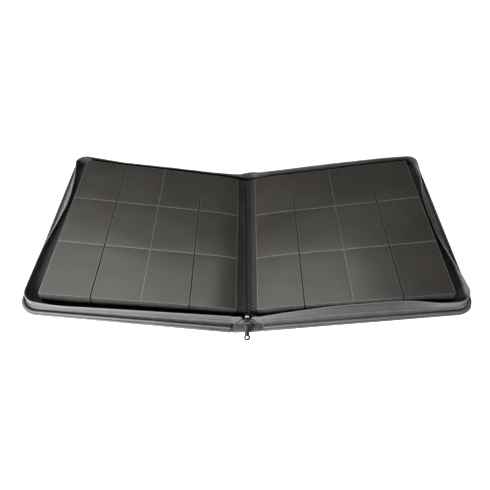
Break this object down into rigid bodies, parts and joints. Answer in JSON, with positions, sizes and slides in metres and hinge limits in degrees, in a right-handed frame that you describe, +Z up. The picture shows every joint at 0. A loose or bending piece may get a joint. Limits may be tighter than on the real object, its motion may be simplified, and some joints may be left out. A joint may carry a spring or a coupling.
{
  "type": "trading card binder",
  "caption": "Zip-around trading card binder lying open at its middle, with side-loading pocket leaves between two padded covers and a metal zip slider with a ring pull.",
  "frame": {"origin": "centre of the spine's underside", "axes": "+X to the right across the open binder, +Y along the spine away from the zip slider, +Z up"},
  "size_m": [0.6472, 0.3434, 0.071],
  "materials": {
    "cover_skin": "charcoal coated fabric with a fine grain",
    "foam": "thin padding",
    "board": "grey board stiffener",
    "lining": "black lining cloth",
    "piping": "charcoal coated fabric over cord",
    "zip_fabric": "woven zip tape",
    "zip_coil": "nylon coil",
    "page_film": "clear embossed film over a black core",
    "page_core": "black polypropylene sheet",
    "slider_metal": "gunmetal plated zinc"
  },
  "bodies": {
    "spine": {"spine_skin": "cover_skin", "spine_board": "board", "spine_lining": "lining", "binding_strip": "lining", "left_hinge_strip": "cover_skin", "right_hinge_strip": "cover_skin", "front_end_gusset": "zip_fabric", "back_end_gusset": "zip_fabric", "front_zip_stop": "slider_metal", "back_zip_stop": "slider_metal"},
    "slider": {"zip_slider": "slider_metal"},
    "pull": {"pull_tab": "slider_metal"},
    "left_cover": {"left_cover_skin": "cover_skin", "left_cover_foam": "foam", "left_cover_board": "board", "left_cover_lining": "lining", "left_cover_piping": "piping", "left_zip_gusset": "cover_skin", "left_zip_tape": "zip_fabric", "left_zip_coil": "zip_coil"},
    "left_binding": {"left_page_margins": "page_core"},
    "left_leaf_01": {"left_leaf_01": "page_film"},
    "left_leaf_02": {"left_leaf_02": "page_film"},
    "left_leaf_03": {"left_leaf_03": "page_film"},
    "left_leaf_04": {"left_leaf_04": "page_film"},
    "left_leaf_05": {"left_leaf_05": "page_film"},
    "left_leaf_06": {"left_leaf_06": "page_film"},
    "left_leaf_07": {"left_leaf_07": "page_film"},
    "left_leaf_08": {"left_leaf_08": "page_film"},
    "left_leaf_09": {"left_leaf_09": "page_film"},
    "left_leaf_10": {"left_leaf_10": "page_film"},
    "right_cover": {"right_cover_skin": "cover_skin", "right_cover_foam": "foam", "right_cover_board": "board", "right_cover_lining": "lining", "right_cover_piping": "piping", "right_zip_gusset": "cover_skin", "right_zip_tape": "zip_fabric", "right_zip_coil": "zip_coil"},
    "right_binding": {"right_page_margins": "page_core"},
    "right_leaf_01": {"right_leaf_01": "page_film"},
    "right_leaf_02": {"right_leaf_02": "page_film"},
    "right_leaf_03": {"right_leaf_03": "page_film"},
    "right_leaf_04": {"right_leaf_04": "page_film"},
    "right_leaf_05": {"right_leaf_05": "page_film"},
    "right_leaf_06": {"right_leaf_06": "page_film"},
    "right_leaf_07": {"right_leaf_07": "page_film"},
    "right_leaf_08": {"right_leaf_08": "page_film"},
    "right_leaf_09": {"right_leaf_09": "page_film"},
    "right_leaf_10": {"right_leaf_10": "page_film"}
  },
  "joints": [
    {"name": "left_cover_hinge", "type": "hinge", "parent": "spine", "child": "left_cover", "pos_m": [-0.023, 0, 0.0025], "axis": [0, -1, 0], "range_deg": [-81, 0], "deforming": ["left_hinge_strip", "front_end_gusset", "back_end_gusset"]},
    {"name": "left_binding_fold", "type": "hinge", "parent": "spine", "child": "left_binding", "pos_m": [-0.0125, 0, 0.01262], "axis": [0, -1, 0], "range_deg": [-81, 0], "deforming": ["left_page_margins"]},
    {"name": "left_leaf_01_turn", "type": "hinge", "parent": "left_binding", "child": "left_leaf_01", "pos_m": [0, 0, 0.02287], "axis": [0, 1, 0], "range_deg": [0, 162]},
    {"name": "left_leaf_02_turn", "type": "hinge", "parent": "left_binding", "child": "left_leaf_02", "pos_m": [0, 0, 0.02287], "axis": [0, 1, 0], "range_deg": [0, 159]},
    {"name": "left_leaf_03_turn", "type": "hinge", "parent": "left_binding", "child": "left_leaf_03", "pos_m": [0, 0, 0.02287], "axis": [0, 1, 0], "range_deg": [0, 156]},
    {"name": "left_leaf_04_turn", "type": "hinge", "parent": "left_binding", "child": "left_leaf_04", "pos_m": [0, 0, 0.02287], "axis": [0, 1, 0], "range_deg": [0, 153]},
    {"name": "left_leaf_05_turn", "type": "hinge", "parent": "left_binding", "child": "left_leaf_05", "pos_m": [0, 0, 0.02287], "axis": [0, 1, 0], "range_deg": [0, 150]},
    {"name": "left_leaf_06_turn", "type": "hinge", "parent": "left_binding", "child": "left_leaf_06", "pos_m": [0, 0, 0.02287], "axis": [0, 1, 0], "range_deg": [0, 147]},
    {"name": "left_leaf_07_turn", "type": "hinge", "parent": "left_binding", "child": "left_leaf_07", "pos_m": [0, 0, 0.02287], "axis": [0, 1, 0], "range_deg": [0, 144]},
    {"name": "left_leaf_08_turn", "type": "hinge", "parent": "left_binding", "child": "left_leaf_08", "pos_m": [0, 0, 0.02287], "axis": [0, 1, 0], "range_deg": [0, 141]},
    {"name": "left_leaf_09_turn", "type": "hinge", "parent": "left_binding", "child": "left_leaf_09", "pos_m": [0, 0, 0.02287], "axis": [0, 1, 0], "range_deg": [0, 138]},
    {"name": "left_leaf_10_turn", "type": "hinge", "parent": "left_binding", "child": "left_leaf_10", "pos_m": [0, 0, 0.02287], "axis": [0, 1, 0], "range_deg": [0, 135]},
    {"name": "right_cover_hinge", "type": "hinge", "parent": "spine", "child": "right_cover", "pos_m": [0.023, 0, 0.0025], "axis": [0, 1, 0], "range_deg": [-81, 0], "deforming": ["right_hinge_strip"]},
    {"name": "right_binding_fold", "type": "hinge", "parent": "spine", "child": "right_binding", "pos_m": [0.0125, 0, 0.01262], "axis": [0, 1, 0], "range_deg": [-81, 0], "deforming": ["right_page_margins"]},
    {"name": "right_leaf_01_turn", "type": "hinge", "parent": "right_binding", "child": "right_leaf_01", "pos_m": [0, 0, 0.02287], "axis": [0, -1, 0], "range_deg": [0, 162]},
    {"name": "right_leaf_02_turn", "type": "hinge", "parent": "right_binding", "child": "right_leaf_02", "pos_m": [0, 0, 0.02287], "axis": [0, -1, 0], "range_deg": [0, 159]},
    {"name": "right_leaf_03_turn", "type": "hinge", "parent": "right_binding", "child": "right_leaf_03", "pos_m": [0, 0, 0.02287], "axis": [0, -1, 0], "range_deg": [0, 156]},
    {"name": "right_leaf_04_turn", "type": "hinge", "parent": "right_binding", "child": "right_leaf_04", "pos_m": [0, 0, 0.02287], "axis": [0, -1, 0], "range_deg": [0, 153]},
    {"name": "right_leaf_05_turn", "type": "hinge", "parent": "right_binding", "child": "right_leaf_05", "pos_m": [0, 0, 0.02287], "axis": [0, -1, 0], "range_deg": [0, 150]},
    {"name": "right_leaf_06_turn", "type": "hinge", "parent": "right_binding", "child": "right_leaf_06", "pos_m": [0, 0, 0.02287], "axis": [0, -1, 0], "range_deg": [0, 147]},
    {"name": "right_leaf_07_turn", "type": "hinge", "parent": "right_binding", "child": "right_leaf_07", "pos_m": [0, 0, 0.02287], "axis": [0, -1, 0], "range_deg": [0, 144]},
    {"name": "right_leaf_08_turn", "type": "hinge", "parent": "right_binding", "child": "right_leaf_08", "pos_m": [0, 0, 0.02287], "axis": [0, -1, 0], "range_deg": [0, 141]},
    {"name": "right_leaf_09_turn", "type": "hinge", "parent": "right_binding", "child": "right_leaf_09", "pos_m": [0, 0, 0.02287], "axis": [0, -1, 0], "range_deg": [0, 138]},
    {"name": "right_leaf_10_turn", "type": "hinge", "parent": "right_binding", "child": "right_leaf_10", "pos_m": [0, 0, 0.02287], "axis": [0, -1, 0], "range_deg": [0, 135]},
    {"name": "slider_travel", "type": "slide", "parent": "spine", "child": "slider", "axis": [0, 0, 1], "range_m": [0, 0.25]},
    {"name": "pull_swing", "type": "hinge", "parent": "slider", "child": "pull", "pos_m": [0, -0.15835, 0.022], "axis": [-1, 0, 0], "range_deg": [0, 133]}
  ],
  "couplings": [
    {"joint": "left_binding_fold", "follows": "left_cover_hinge", "ratio": 1},
    {"joint": "left_leaf_02_turn", "follows": "left_leaf_01_turn", "ratio": 0.98148},
    {"joint": "left_leaf_03_turn", "follows": "left_leaf_01_turn", "ratio": 0.96296},
    {"joint": "left_leaf_04_turn", "follows": "left_leaf_01_turn", "ratio": 0.94444},
    {"joint": "left_leaf_05_turn", "follows": "left_leaf_01_turn", "ratio": 0.92593},
    {"joint": "left_leaf_06_turn", "follows": "left_leaf_01_turn", "ratio": 0.90741},
    {"joint": "left_leaf_07_turn", "follows": "left_leaf_01_turn", "ratio": 0.88889},
    {"joint": "left_leaf_08_turn", "follows": "left_leaf_01_turn", "ratio": 0.87037},
    {"joint": "left_leaf_09_turn", "follows": "left_leaf_01_turn", "ratio": 0.85185},
    {"joint": "left_leaf_10_turn", "follows": "left_leaf_01_turn", "ratio": 0.83333},
    {"joint": "right_binding_fold", "follows": "right_cover_hinge", "ratio": 1},
    {"joint": "right_leaf_02_turn", "follows": "right_leaf_01_turn", "ratio": 0.98148},
    {"joint": "right_leaf_03_turn", "follows": "right_leaf_01_turn", "ratio": 0.96296},
    {"joint": "right_leaf_04_turn", "follows": "right_leaf_01_turn", "ratio": 0.94444},
    {"joint": "right_leaf_05_turn", "follows": "right_leaf_01_turn", "ratio": 0.92593},
    {"joint": "right_leaf_06_turn", "follows": "right_leaf_01_turn", "ratio": 0.90741},
    {"joint": "right_leaf_07_turn", "follows": "right_leaf_01_turn", "ratio": 0.88889},
    {"joint": "right_leaf_08_turn", "follows": "right_leaf_01_turn", "ratio": 0.87037},
    {"joint": "right_leaf_09_turn", "follows": "right_leaf_01_turn", "ratio": 0.85185},
    {"joint": "right_leaf_10_turn", "follows": "right_leaf_01_turn", "ratio": 0.83333},
    {"joint": "slider_travel", "follows": "left_cover_hinge", "m_per_rad": -0.17684}
  ]
}
